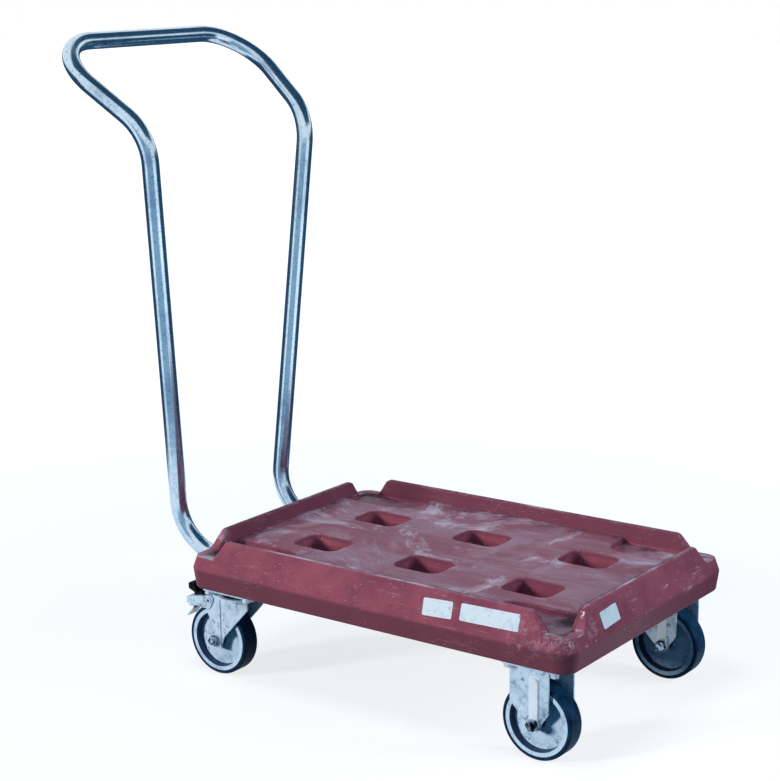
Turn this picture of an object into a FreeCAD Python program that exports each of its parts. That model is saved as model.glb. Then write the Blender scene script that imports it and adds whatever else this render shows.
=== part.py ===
import FreeCAD, Part
import math
import os
import re
import Sketcher

# Platform trolley for stacked food boxes: a moulded platform with raised rims, a bent tube
# handle at the rear, two fixed castors at the front and two braked swivel castors at the rear.
# +X points away from the handle, +Y to the left of someone pushing it, +Z up, floor at Z = 0.

SIZES = {
    # platform, outside: widest at the waist, flared above it and tucked in below it
    "platform_length": 764.0,
    "platform_width": 510.0,
    "platform_corner": 31.0,
    "underside_height": 160.0,
    "lower_wall_height": 35.0,
    "upper_wall_height": 54.0,
    "wall_flare": 19.0,
    "wall_tuck": 5.2,
    "waist_round": 6.0,
    "underside_round": 5.0,
    # platform, tray between the rims
    "tray_depth": 24.0,
    "rim_width": 9.0,
    "inner_rim_round": 3.0,
    "outer_rim_round": 3.5,
    "tray_corner": 16.0,
    "tray_draft": 2.0,
    # corner recesses in the deck and the notches between the rims
    "recess_depth": 11.0,
    "recess_length": 146.0,
    "recess_width": 71.0,
    "recess_round": 34.0,
    "recess_edge_round": 6.0,
    "recess_foot_round": 4.0,
    "corner_lip": 2.0,
    "rim_end_setback": 76.0,
    "rim_end_run": 21.0,
    "rim_end_round": 12.0,
    "rim_foot_round": 16.0,
    # six deep pockets in the deck
    "pocket_length": 90.0,
    "pocket_width": 68.0,
    "pocket_round": 17.0,
    "pocket_pitch_along": 213.0,
    "pocket_pitch_across": 173.0,
    "pocket_floor": 8.0,
    "pocket_draft": 3.0,
    "pocket_edge_round": 4.0,
    # handle tube: foot, knee and grip are the corners that its bends round off; each stands
    # some way behind the platform and some way inside or outside its width
    "tube_diameter": 30.0,
    "tube_wall": 2.0,
    "socket_rise": 18.0,
    "socket_depth": 110.0,
    "socket_clearance": 0.1,
    "foot_stand": 118.0,
    "foot_inset": 120.5,
    "foot_bend": 86.0,
    "knee_stand": 86.0,
    "knee_inset": 43.0,
    "knee_height": 927.0,
    "knee_bend": 100.0,
    "grip_stand": 281.5,
    "grip_overhang": 4.0,
    "grip_height": 1074.0,
    "grip_bend": 96.0,
    "handle_bolt_inset": 60.0,
    # fasteners
    "bolt_radius": 4.0,
    "bolt_across_flats": 13.0,
    "bolt_head": 5.3,
    "bolt_grip": 20.0,
    "hole_clearance": 0.4,
    "washer_radius": 7.5,
    "washer_thickness": 1.6,
    "insert_radius": 7.0,
    "insert_length": 25.0,
    "handle_insert_length": 14.0,
    "insert_clearance": 0.05,
    # castor positions, measured inwards from the platform's ends and sides
    "front_axle_inset": 79.0,
    "rear_swivel_inset": 77.0,
    "castor_inset": 50.0,
    # wheel
    "wheel_radius": 62.5,
    "tyre_width": 35.0,
    "tyre_shoulder": 4.5,
    "tyre_seat_radius": 54.0,
    "tyre_seat_width": 28.0,
    "hub_flange_radius": 57.5,
    "hub_flange_width": 33.0,
    "hub_ring_radius": 49.0,
    "hub_dish_draft": 2.0,
    "web_width_at_ring": 8.0,
    "web_width_at_boss": 18.0,
    "boss_radius": 12.5,
    "hub_length": 40.0,
    "sleeve_radius": 8.0,
    "running_clearance": 0.05,
    "axle_radius": 5.0,
    "axle_across_flats": 17.0,
    "axle_head": 6.4,
    "axle_nut_height": 8.0,
    "axle_end": 3.0,
    "side_clearance": 0.6,
    # castor plates and forks, measured from the axle along X and from the floor along Z
    "plate_length": 105.0,
    "plate_width": 80.0,
    "plate_thickness": 3.0,
    "plate_corner": 8.0,
    "plate_bolts_along": 84.0,
    "plate_bolts_across": 63.0,
    "fork_sheet": 3.0,
    "fixed_leg_wide": 44.0,
    "fixed_leg_wide_height": 92.0,
    "fixed_leg_narrow": 26.0,
    "fixed_leg_narrow_height": 82.0,
    "fixed_leg_round": 12.0,
    "fixed_foot_drop": 11.0,
    "fixed_foot_half": 4.0,
    "fixed_foot_round": 7.0,
    "fixed_rib_half": 9.5,
    "fixed_rib_end_flat": 0.9,
    "fixed_rib_height": 3.0,
    "fixed_rib_top_height": 138.0,
    "fixed_rib_slope": 30.0,
    # swivel castor
    "trail": 39.5,
    "crown_radius": 37.0,
    "crown_thickness": 5.0,
    "crown_top_height": 148.0,
    "race_radius": 24.0,
    "race_boss_half": 5.5,
    "race_gap": 1.0,
    "ball_radius": 3.5,
    "ball_count": 14,
    "seal_thickness": 1.5,
    "seal_clearance": 0.3,
    "kingpin_radius": 6.0,
    "kingpin_head_radius": 10.0,
    "kingpin_nut_across": 18.0,
    "kingpin_nut_height": 8.0,
    "thrust_radius": 15.0,
    "thrust_thickness": 2.5,
    "swivel_leg_nose": 34.0,
    "swivel_leg_nose_height": 130.0,
    "swivel_leg_front": 20.0,
    "swivel_leg_front_height": 72.0,
    "swivel_leg_rear": 12.0,
    "swivel_leg_rear_height": 104.0,
    "swivel_foot_drop": 13.0,
    "swivel_foot_half": 11.0,
    "swivel_foot_round": 9.0,
    "swivel_joggle": 1.5,
    "ear_half": 12.0,
    "ear_rise": 7.2,
    "ear_round": 6.0,
    # brake pedal on the swivel fork
    "pivot_back": 9.2,
    "pivot_height": 134.0,
    "pivot_radius": 4.2,
    "pivot_bore": 3.0,
    "pivot_head_radius": 5.6,
    "pivot_head": 1.2,
    "pedal_sheet": 2.0,
    "pedal_nose": 9.0,
    "pedal_nose_round": 5.4,
    "pedal_reach": 51.0,
    "pedal_tip_drop": 11.0,
    "pedal_tip_height": 11.5,
    "pedal_tip_round": 3.0,
    "pedal_cheek_drop": 16.0,
    "pedal_web_start": 20.0,
    "tread_half": 19.0,
    "tread_thickness": 5.0,
    "tread_front_thickness": 3.5,
    "tread_front_round": 1.2,
    "tread_saddle_back": 34.0,
    "tread_saddle_round": 4.0,
    "tread_neck_back": 39.0,
    "tread_toe_front": 40.0,
    "tread_toe_back": 52.0,
    "tread_toe_low": 11.0,
    "tread_toe_high": 22.0,
    "tread_toe_round": 3.0,
    "shoe_thickness": 2.0,
    "shoe_lean": 1.2,
    "shoe_half": 12.0,
    "shoe_start": 26.0,
    "shoe_bend_back": 40.0,
    "shoe_touch_back": 51.0,
    "shoe_touch_drop": 27.0,
    "shoe_tip_back": 64.5,
    "shoe_tip_drop": 42.0,
    "shoe_lug_start": 48.5,
    "shoe_lug_end": 61.0,
    "shoe_lug_drop": 22.5,
}

doc = FreeCAD.newDocument("platform_trolley")
sheet = doc.addObject("Spreadsheet::Sheet", "Sizes")
for row, (alias, number) in enumerate(SIZES.items(), start=1):
    sheet.set("A%d" % row, alias)
    sheet.set("B%d" % row, str(number))
    sheet.setAlias("B%d" % row, alias)
doc.recompute()

sub_parts = []


# Expressions on the sheet
def bind(text):
    """Turn the size names in an expression into references to the sheet."""
    return re.sub(r"[a-z_]+", lambda word: "Sizes." * (word.group() in SIZES) + word.group(), text)


def value(text):
    """Number that an expression on the sheet gives."""
    result = sheet.evalExpression(bind(text))
    return float(getattr(result, "Value", result))


def point(x, y, z):
    return FreeCAD.Vector(value(x), value(y), value(z))


# Places that several pieces share
PLATFORM_X = "(grip_stand + tube_diameter/2)/2"
FRONT_AXLE = "(platform_length/2 - front_axle_inset)"
REAR_SWIVEL = "(platform_length/2 - rear_swivel_inset)"
FRONT_X = "(%s + %s)" % (PLATFORM_X, FRONT_AXLE)
REAR_X = "(%s - %s)" % (PLATFORM_X, REAR_SWIVEL)
CASTOR_Y = "(platform_width/2 - castor_inset)"
SIDES = {"right": "-" + CASTOR_Y, "left": CASTOR_Y}
TOUCHING = 1e-4
WAIST = "(underside_height + lower_wall_height)"
RIM_TOP = "(%s + upper_wall_height)" % WAIST
DECK = "(%s - tray_depth)" % RIM_TOP
CORNER_FLOOR = "(%s - recess_depth)" % DECK
CORNER_TOP = "(%s + corner_lip)" % CORNER_FLOOR
SOCKET_HEIGHT = "(underside_height + socket_rise)"
SOCKET_Y = "(platform_width/2 - foot_inset)"
TRAY_HALF_LENGTH = "(platform_length/2 - wall_flare - rim_width)"
TRAY_HALF_WIDTH = "(platform_width/2 - wall_flare - rim_width)"
PLATE_BOTTOM = "(underside_height - plate_thickness)"
FORK_GAP = "(hub_length + 2*side_clearance)"
FORK_OUTER = "(hub_length + 2*side_clearance + 2*fork_sheet)"
RIB_OUTER = "(hub_length + 2*side_clearance + 2*fork_sheet + 2*fixed_rib_height)"


# Sketches
def new_body(label, x="0", y="0", z="0"):
    body = doc.addObject("PartDesign::Body", label)
    body.Label = label
    for axis, text in zip("xyz", (x, y, z)):
        body.setExpression("Placement.Base." + axis, bind(text))
    sub_parts.append(body)
    return body


def new_sketch(body, name, role, offset="0"):
    """Sketch on an origin plane of its own body, moved along the plane's normal."""
    sketch = body.newObject("Sketcher::SketchObject", name)
    plane = [feature for feature in body.Origin.OriginFeatures if feature.Role == role][0]
    sketch.AttachmentSupport = [(plane, "")]
    sketch.MapMode = "FlatFace"
    sketch.setExpression("AttachmentOffset.Base.z", bind(offset))
    return sketch


def hold(sketch, geometry, position, place):
    """Dimension a point of the sketch from its origin."""
    for kind, text in zip(("DistanceX", "DistanceY"), place):
        rule = Sketcher.Constraint(kind, -1, 1, geometry, position, value(text))
        index = sketch.addConstraint(rule)
        sketch.setExpression("Constraints[%d]" % index, bind(text))


def hold_radius(sketch, geometry, text):
    index = sketch.addConstraint(Sketcher.Constraint("Radius", geometry, value(text)))
    sketch.setExpression("Constraints[%d]" % index, bind(text))


def draw_circle(sketch, radius, x="0", y="0"):
    centre = FreeCAD.Vector(value(x), value(y), 0)
    circle = sketch.addGeometry(Part.Circle(centre, FreeCAD.Vector(0, 0, 1), value(radius)))
    hold(sketch, circle, 3, (x, y))
    hold_radius(sketch, circle, radius)


def round_corner(before, here, after, radius):
    """Tangent points, centre and turning sense of an arc that rounds a corner."""
    to_before = (before - here).normalize()
    to_after = (after - here).normalize()
    half = to_before.getAngle(to_after) / 2
    trim = radius / math.tan(half)
    centre = here + (to_before + to_after).normalize() * (radius / math.sin(half))
    leftward = to_before.cross(to_after).z < 0
    return here + to_before * trim, here + to_after * trim, centre, leftward


def draw_outline(sketch, corners):
    """Closed outline through corners (x, y) or (x, y, radius), all expressions."""
    count = len(corners)
    points = [FreeCAD.Vector(value(corner[0]), value(corner[1]), 0) for corner in corners]
    bends = {}
    for i, corner in enumerate(corners):
        if len(corner) == 3:
            bends[i] = round_corner(points[i - 1], points[i], points[(i + 1) % count], value(corner[2]))
    lines = []
    for i in range(count):
        after = (i + 1) % count
        first = bends[i][1] if i in bends else points[i]
        last = bends[after][0] if after in bends else points[after]
        lines.append(sketch.addGeometry(Part.LineSegment(first, last)))
    for i, corner in enumerate(corners):
        line_in, line_out = lines[i - 1], lines[i]
        if i not in bends:
            sketch.addConstraint(Sketcher.Constraint("Coincident", line_in, 2, line_out, 1))
            hold(sketch, line_out, 1, corner[:2])
            continue
        start, end, centre, leftward = bends[i]
        first, last = (start, end) if leftward else (end, start)
        angles = [math.atan2(spot.y - centre.y, spot.x - centre.x) for spot in (first, last)]
        ring = Part.Circle(centre, FreeCAD.Vector(0, 0, 1), value(corner[2]))
        arc = sketch.addGeometry(Part.ArcOfCircle(ring, angles[0], angles[1]))
        begin, finish = (1, 2) if leftward else (2, 1)
        sketch.addConstraint(Sketcher.Constraint("Tangent", line_in, 2, arc, begin))
        sketch.addConstraint(Sketcher.Constraint("Tangent", arc, finish, line_out, 1))
        virtual = sketch.addGeometry(Part.Point(points[i]), True)
        hold(sketch, virtual, 1, corner[:2])
        sketch.addConstraint(Sketcher.Constraint("PointOnObject", virtual, 1, line_in))
        sketch.addConstraint(Sketcher.Constraint("PointOnObject", virtual, 1, line_out))
        hold_radius(sketch, arc, corner[2])


def rectangle(half_x, half_y, radius, x="0", y="0"):
    """Corners of a rounded rectangle about a centre."""
    signs = ((-1, -1), (1, -1), (1, 1), (-1, 1))
    return [("%s + %d*(%s)" % (x, a, half_x), "%s + %d*(%s)" % (y, b, half_y), radius) for a, b in signs]


def block(x_low, x_high, z_low, z_high):
    """Sharp corners of an upright rectangle."""
    return [(x_low, z_low), (x_high, z_low), (x_high, z_high), (x_low, z_high)]


def hexagon(across):
    """Corners of a hexagon about the origin, from its width across flats."""
    wide = "(%s)/sqrt(3)" % across
    flat = "(%s)/2" % across
    return [
        (wide, "0"),
        (wide + "/2", flat),
        ("-%s/2" % wide, flat),
        ("-" + wide, "0"),
        ("-%s/2" % wide, "-" + flat),
        (wide + "/2", "-" + flat),
    ]


# Features
def extrude(body, kind, name, sketch, length, taper=None, reverse=False, both=False):
    """Pad or pocket of a sketch; both spreads the length evenly to both sides of it."""
    before = body.Shape.Volume if body.Tip else 0.0
    feature = body.newObject("PartDesign::" + kind, name)
    feature.Profile = sketch
    feature.setExpression("Length", bind(length))
    if taper:
        feature.setExpression("TaperAngle", bind(taper))
    feature.Reversed = reverse
    if both:
        feature.SideType = "Symmetric"
    doc.recompute()
    gained = body.Shape.Volume - before
    if (gained <= 0) if kind == "Pad" else (gained >= 0):
        raise ValueError("%s of %s changed nothing" % (name, body.Label))
    return feature


def pad(body, name, sketch, length, **options):
    return extrude(body, "Pad", name, sketch, length, **options)


def pocket(body, name, sketch, length, **options):
    return extrude(body, "Pocket", name, sketch, length, **options)


def revolve(body, name, sketch, axis="V_Axis"):
    feature = body.newObject("PartDesign::Revolution", name)
    feature.Profile = sketch
    feature.ReferenceAxis = (sketch, [axis])
    feature.Angle = 360
    doc.recompute()
    return feature


def fillet(body, name, radius, wanted):
    """Round the edges that the test picks, and those that run on from them."""
    base = body.Tip
    numbered = enumerate(base.Shape.Edges, start=1)
    edges = ["Edge%d" % i for i, edge in numbered if wanted(edge)]
    feature = body.newObject("PartDesign::Fillet", name)
    feature.Base = (base, edges)
    feature.setExpression("Radius", bind(radius))
    doc.recompute()
    return feature


def flat_edges(height):
    """Test for an edge that lies flat at a height."""
    level = value(height)

    def wanted(edge):
        box = edge.BoundBox
        return abs(box.ZMin - level) < TOUCHING and abs(box.ZMax - level) < TOUCHING

    return wanted


def bar(body, name, corners, width, kind="Pad"):
    """Upright outline in the XZ plane, spread evenly about it."""
    sketch = new_sketch(body, name + "_outline", "XZ_Plane")
    draw_outline(sketch, corners)
    return extrude(body, kind, name, sketch, width, both=True)


def drill_across(body, name, radius, x, z, width):
    """Round hole along Y through both walls of a fork, pedal or wheel."""
    sketch = new_sketch(body, name + "_outline", "XZ_Plane")
    draw_circle(sketch, radius, x, z)
    return pocket(body, name, sketch, width, both=True)


# Platform
def platform_shell():
    body = new_body("platform_shell", x=PLATFORM_X)
    waist = new_sketch(body, "waist_outline", "XY_Plane", WAIST)
    draw_outline(waist, rectangle("platform_length/2", "platform_width/2", "platform_corner"))
    pad(body, "upper_wall", waist, "upper_wall_height", taper="-atan(wall_flare/upper_wall_height)")
    pad(body, "lower_wall", waist, "lower_wall_height", taper="-atan(wall_tuck/lower_wall_height)",
        reverse=True)
    fillet(body, "waist_rounding", "waist_round", flat_edges(WAIST))
    fillet(body, "underside_rounding", "underside_round", flat_edges("underside_height"))

    tray = new_sketch(body, "tray_outline", "XY_Plane", RIM_TOP)
    draw_outline(tray, rectangle(TRAY_HALF_LENGTH, TRAY_HALF_WIDTH, "tray_corner"))
    pocket(body, "tray", tray, "tray_depth", taper="-atan(tray_draft/tray_depth)")
    fillet(body, "inner_rim_rounding", "inner_rim_round", rim_edges(outer=False))
    deck_recesses(body)
    fillet(body, "recess_edge_rounding", "recess_edge_round", step_edges(DECK))
    fillet(body, "recess_foot_rounding", "recess_foot_round", step_edges(CORNER_FLOOR))
    rim_notches(body)
    fillet(body, "outer_rim_rounding", "outer_rim_round", rim_edges(outer=True))
    deck_pockets(body)
    fillet(body, "pocket_rounding", "pocket_edge_round", pocket_edges())
    handle_sockets(body)
    fastener_holes(body)
    return body


def rim_edges(outer):
    """Test for the straight edges on top of the rims, outside or inside their middle line."""
    middle_x = value("%s + rim_width/2" % TRAY_HALF_LENGTH)
    middle_y = value("%s + rim_width/2" % TRAY_HALF_WIDTH)
    flat = flat_edges(RIM_TOP)

    def wanted(edge):
        centre = edge.BoundBox.Center
        beyond = abs(centre.x) > middle_x or abs(centre.y) > middle_y
        along = isinstance(edge.Curve, Part.Line) and edge.Length > value("rim_width")
        return flat(edge) and along and beyond == outer

    return wanted


def deck_recesses(body):
    """Four shallow recesses that run from the deck into the corners."""
    sketch = new_sketch(body, "recess_outlines", "XY_Plane", DECK)
    far_x = "(%s - tray_draft)" % TRAY_HALF_LENGTH
    far_y = "(%s - tray_draft)" % TRAY_HALF_WIDTH
    near_x = "(%s - recess_length)" % far_x
    near_y = "(%s - recess_width)" % far_y
    for a in ("", "-"):
        for b in ("", "-"):
            corners = [
                (a + near_x, b + near_y, "recess_round"),
                (a + far_x, b + near_y),
                (a + far_x, b + far_y, "tray_corner"),
                (a + near_x, b + far_y),
            ]
            draw_outline(sketch, corners)
    pocket(body, "recesses", sketch, "recess_depth")


def step_edges(height):
    """Test for the straight edges at the top or the foot of the step between deck and recess."""
    flat = flat_edges(height)
    far_x = value("%s - tray_draft" % TRAY_HALF_LENGTH) - TOUCHING
    far_y = value("%s - tray_draft" % TRAY_HALF_WIDTH) - TOUCHING

    def wanted(edge):
        centre = edge.BoundBox.Center
        inside = abs(centre.x) < far_x and abs(centre.y) < far_y
        return flat(edge) and inside and isinstance(edge.Curve, Part.Line)

    return wanted


def rim_end(sign, half_length, beyond):
    """Outline that is cut away past the end of a rim: a rounded slope down to the corner's lip."""
    above = "(%s + rim_end_round)" % RIM_TOP
    foot = "(%s + rim_end_run)" % half_length
    return [
        (sign + "(%s - rim_end_round)" % half_length, RIM_TOP),
        (sign + half_length, RIM_TOP, "rim_end_round"),
        (sign + foot, CORNER_TOP, "rim_foot_round"),
        (sign + beyond, CORNER_TOP),
        (sign + beyond, above),
        (sign + "(%s - rim_end_round)" % half_length, above),
    ]


def rim_notches(body):
    """Cut the rims short at the four corners, each end with its own slope."""
    side_half = "(platform_length/2 - rim_end_setback)"
    end_half = "(platform_width/2 - rim_end_setback)"
    side_foot = "(%s + rim_end_run)" % side_half
    end_foot = "(%s + rim_end_run)" % end_half
    cuts = (
        ("side", "XZ_Plane", side_half, end_foot, "platform_length", "platform_width/2"),
        ("end", "YZ_Plane", end_half, side_foot, "platform_width", "platform_length/2"),
    )
    for name, role, half, start, beyond, depth in cuts:
        for sign in ("", "-"):
            sketch = new_sketch(body, "%s_rim_cut_%d" % (name, sign == "-"), role, sign + start)
            draw_outline(sketch, rim_end("", half, beyond))
            draw_outline(sketch, rim_end("-", half, beyond))
            pocket(body, "%s_rim_ends_%d" % (name, sign == "-"), sketch, depth, reverse=sign == "")


def deck_pockets(body):
    """Two rows of three deep pockets that tie the deck to the underside."""
    for column in (-1, 0, 1):
        for side in (-1, 1):
            name = "pocket_%d_%d" % (column + 2, side > 0)
            sketch = new_sketch(body, name + "_outline", "XY_Plane", DECK)
            x = "%d*pocket_pitch_along" % column
            y = "%d*pocket_pitch_across/2" % side
            draw_outline(sketch, rectangle("pocket_length/2", "pocket_width/2", "pocket_round", x, y))
            depth = "%s - underside_height - pocket_floor" % DECK
            pocket(body, name, sketch, depth, taper="-pocket_draft")


def pocket_edges():
    """Test for the straight edges round the mouths of the pockets."""
    flat = flat_edges(DECK)
    far_x = value("pocket_pitch_along + pocket_length/2") + TOUCHING
    far_y = value("pocket_pitch_across/2 + pocket_width/2") + TOUCHING

    def wanted(edge):
        centre = edge.BoundBox.Center
        inside = abs(centre.x) < far_x and abs(centre.y) < far_y
        return flat(edge) and inside and isinstance(edge.Curve, Part.Line)

    return wanted


def handle_sockets(body):
    """Two round sockets in the rear wall that take the ends of the handle."""
    sketch = new_sketch(body, "socket_outlines", "YZ_Plane", "-platform_length/2")
    for sign in ("", "-"):
        draw_circle(sketch, "tube_diameter/2 + socket_clearance", sign + SOCKET_Y, SOCKET_HEIGHT)
    pocket(body, "sockets", sketch, "socket_depth", reverse=True)


HANDLE_BOLT_X = "(socket_depth - handle_bolt_inset - platform_length/2)"


def castor_bolt_places():
    """Centres of the plate bolts, measured from the platform's centre."""
    plates = (FRONT_AXLE, "-" + REAR_SWIVEL)
    places = []
    for plate in plates:
        for track in SIDES.values():
            for a in (-1, 1):
                for b in (-1, 1):
                    x = "%s + %d*plate_bolts_along/2" % (plate, a)
                    y = "%s + %d*plate_bolts_across/2" % (track, b)
                    places.append((x, y))
    return places


def handle_bolt_places():
    return [(HANDLE_BOLT_X, sign + SOCKET_Y) for sign in ("", "-")]


def fastener_holes(body):
    """Seats of the threaded inserts, and the holes of the two bolts that pin the handle."""
    seats = new_sketch(body, "insert_outlines", "XY_Plane", "underside_height")
    for x, y in castor_bolt_places():
        draw_circle(seats, "insert_radius + insert_clearance", x, y)
    pocket(body, "insert_seats", seats, "insert_length", reverse=True)
    pins = new_sketch(body, "handle_bolt_outlines", "XY_Plane", "underside_height")
    for x, y in handle_bolt_places():
        draw_circle(pins, "bolt_radius + hole_clearance", x, y)
    pocket(body, "handle_bolt_holes", pins, "socket_rise", reverse=True)
    nuts = new_sketch(body, "handle_insert_outlines", "XY_Plane", SOCKET_HEIGHT)
    for x, y in handle_bolt_places():
        draw_circle(nuts, "insert_radius + insert_clearance", x, y)
    seat_top = "tube_diameter/2 + socket_clearance + handle_insert_length"
    pocket(body, "handle_insert_seats", nuts, seat_top, reverse=True)


# Handle
def handle_path(corners, radii):
    """Wire of straight runs and tangent arcs through the corners."""
    edges = []
    spot = corners[0]
    for before, here, after, radius in zip(corners, corners[1:], corners[2:], radii):
        start, end, centre, _ = round_corner(before, here, after, radius)
        middle = centre + (here - centre).normalize() * radius
        edges.append(Part.LineSegment(spot, start).toShape())
        edges.append(Part.Arc(start, middle, end).toShape())
        spot = end
    edges.append(Part.LineSegment(spot, corners[-1]).toShape())
    return Part.Wire(edges)


def push_handle():
    """One bent tube: two sockets, splayed legs, a swept-back top and the grip across it."""
    half = [
        ("socket_depth - platform_length/2", SOCKET_Y, SOCKET_HEIGHT),
        ("-platform_length/2 - foot_stand", SOCKET_Y, SOCKET_HEIGHT),
        ("-platform_length/2 - knee_stand", "platform_width/2 - knee_inset", "knee_height"),
        ("-platform_length/2 - grip_stand", "platform_width/2 + grip_overhang", "grip_height"),
    ]
    left = [point(*corner) for corner in half]
    right = [FreeCAD.Vector(corner.x, -corner.y, corner.z) for corner in reversed(left)]
    bends = [value(name) for name in ("foot_bend", "knee_bend", "grip_bend")]
    path = handle_path(left + right, bends + bends[::-1])
    along = FreeCAD.Vector(1, 0, 0)
    rods = []
    for radius in ("tube_diameter/2", "tube_diameter/2 - tube_wall"):
        circle = Part.Circle(left[0], along, value(radius))
        rods.append(path.makePipe(Part.Face(Part.Wire(circle.toShape()))))
    tube = rods[0].cut(rods[1])
    for x, y in handle_bolt_places():
        foot = point(x, y, "underside_height")
        hole = Part.makeCylinder(value("bolt_radius + hole_clearance"), value("2*socket_rise"), foot)
        tube = tube.cut(hole)
    handle = doc.addObject("Part::Feature", "push_handle")
    handle.Label = "push_handle"
    handle.Shape = tube
    handle.Placement.Base = point(PLATFORM_X, "0", "0")
    sub_parts.append(handle)


# Fasteners that come in sets
def cylinder(name, radius, height, z="0"):
    solid = doc.addObject("Part::Cylinder", name)
    solid.setExpression("Radius", bind(radius))
    solid.setExpression("Height", bind(height))
    solid.setExpression("Placement.Base.z", bind(z))
    return solid


def hex_bolt(name, length):
    """Bolt that points up, with its head under Z = 0."""
    head = doc.addObject("Part::Prism", name + "_head")
    head.Polygon = 6
    head.setExpression("Circumradius", bind("bolt_across_flats/sqrt(3)"))
    head.setExpression("Height", bind("bolt_head"))
    head.setExpression("Placement.Base.z", bind("-bolt_head"))
    bolt = doc.addObject("Part::MultiFuse", name)
    bolt.Shapes = [head, cylinder(name + "_shank", "bolt_radius", length)]
    return bolt


def ring(name, outer, inner, height):
    """Washer or sleeve that stands on Z = 0."""
    solid = doc.addObject("Part::Cut", name)
    solid.Base = cylinder(name + "_outside", outer, height)
    solid.Tool = cylinder(name + "_bore", inner, height)
    return solid


def set_of(label, pattern, places, z):
    """Separate copies of one piece at several places under the platform."""
    doc.recompute()
    copies = [pattern.Shape.translated(point(x, y, z)) for x, y in places]
    group = doc.addObject("Part::Feature", label)
    group.Label = label
    group.Shape = Part.makeCompound(copies)
    group.Placement.Base = point(PLATFORM_X, "0", "0")
    sub_parts.append(group)


def platform_fasteners():
    loose = "bolt_radius + hole_clearance"
    tight = "bolt_radius + insert_clearance"
    washer = ring("washer_pattern", "washer_radius", loose, "washer_thickness")
    insert = ring("insert_pattern", "insert_radius", tight, "insert_length")
    handle_insert = ring("handle_insert_pattern", "insert_radius", tight, "handle_insert_length")
    stack = "plate_thickness + washer_thickness"
    castor_bolt = hex_bolt("castor_bolt_pattern", "%s + bolt_grip" % stack)
    reach = "washer_thickness + socket_rise + tube_diameter/2"
    handle_bolt = hex_bolt("handle_bolt_pattern", "%s + handle_insert_length" % reach)
    under_plate = "%s - washer_thickness" % PLATE_BOTTOM
    under_platform = "underside_height - washer_thickness"
    insert_foot = "%s + tube_diameter/2 + socket_clearance" % SOCKET_HEIGHT
    set_of("castor_inserts", insert, castor_bolt_places(), "underside_height")
    set_of("castor_washers", washer, castor_bolt_places(), under_plate)
    set_of("castor_bolts", castor_bolt, castor_bolt_places(), under_plate)
    set_of("handle_inserts", handle_insert, handle_bolt_places(), insert_foot)
    set_of("handle_washers", washer, handle_bolt_places(), under_platform)
    set_of("handle_bolts", handle_bolt, handle_bolt_places(), under_platform)


# Wheels
def tyre(label, place):
    body = new_body(label, *place)
    sketch = new_sketch(body, "tread_section", "XY_Plane")
    seat, edge = "tyre_seat_width/2", "tyre_width/2"
    right = [
        ("tyre_seat_radius", seat),
        ("hub_flange_radius", seat),
        ("hub_flange_radius", edge),
        ("wheel_radius", edge, "tyre_shoulder"),
    ]
    left = [(corner[0], "-" + corner[1], *corner[2:]) for corner in reversed(right)]
    draw_outline(sketch, right + left)
    revolve(body, "tread", sketch)


def wheel_hub(label, place):
    """Rim with two flanges, a dished web on both sides and a long boss."""
    body = new_body(label, *place)
    sketch = new_sketch(body, "hub_section", "XY_Plane")
    bore = "sleeve_radius + running_clearance"
    right = [
        (bore, "hub_length/2"),
        ("boss_radius", "hub_length/2"),
        ("boss_radius", "web_width_at_boss/2"),
        ("hub_ring_radius - hub_dish_draft", "web_width_at_ring/2"),
        ("hub_ring_radius", "hub_flange_width/2"),
        ("hub_flange_radius", "hub_flange_width/2"),
        ("hub_flange_radius", "tyre_seat_width/2"),
        ("tyre_seat_radius", "tyre_seat_width/2"),
    ]
    left = [(x, "-" + y) for x, y in reversed(right)]
    draw_outline(sketch, right + left)
    revolve(body, "hub", sketch)


def axle_sleeve(label, place):
    """Steel tube between the fork legs that the hub turns on."""
    body = new_body(label, *place)
    sketch = new_sketch(body, "sleeve_outline", "XZ_Plane")
    draw_circle(sketch, "sleeve_radius")
    draw_circle(sketch, "axle_radius + running_clearance")
    pad(body, "sleeve", sketch, FORK_GAP, both=True)


def axle_bolt(label, place, grip):
    """Bolt along Y through both legs, with its head on the left side."""
    body = new_body(label, *place)
    head = new_sketch(body, "head_outline", "XZ_Plane", "-%s/2" % grip)
    draw_outline(head, hexagon("axle_across_flats"))
    pad(body, "head", head, "axle_head", reverse=True)
    shank = new_sketch(body, "shank_outline", "XZ_Plane", "-%s/2" % grip)
    draw_circle(shank, "axle_radius")
    pad(body, "shank", shank, "%s + axle_nut_height + axle_end" % grip)


def axle_nut(label, place, grip):
    body = new_body(label, *place)
    sketch = new_sketch(body, "nut_outline", "XZ_Plane", "%s/2" % grip)
    draw_outline(sketch, hexagon("axle_across_flats"))
    draw_circle(sketch, "axle_radius + running_clearance")
    pad(body, "nut", sketch, "axle_nut_height")


def wheel_set(name, x, y, grip):
    """Wheel with its axle, at the axle's centre."""
    place = (x, y, "wheel_radius")
    axle_sleeve(name + "_axle_sleeve", place)
    axle_bolt(name + "_axle_bolt", place, grip)
    axle_nut(name + "_axle_nut", place, grip)
    wheel_hub(name + "_wheel_hub", place)
    tyre(name + "_tyre", place)


# Castor plates and forks
def bolted_plate(body, centre):
    """Rectangular plate under the platform with four bolt holes."""
    sketch = new_sketch(body, "plate_outline", "XY_Plane", PLATE_BOTTOM)
    draw_outline(sketch, rectangle("plate_length/2", "plate_width/2", "plate_corner", centre))
    for a in (-1, 1):
        for b in (-1, 1):
            x = "%s + %d*plate_bolts_along/2" % (centre, a)
            draw_circle(sketch, "bolt_radius + hole_clearance", x, "%d*plate_bolts_across/2" % b)
    pad(body, "plate", sketch, "plate_thickness")


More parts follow.
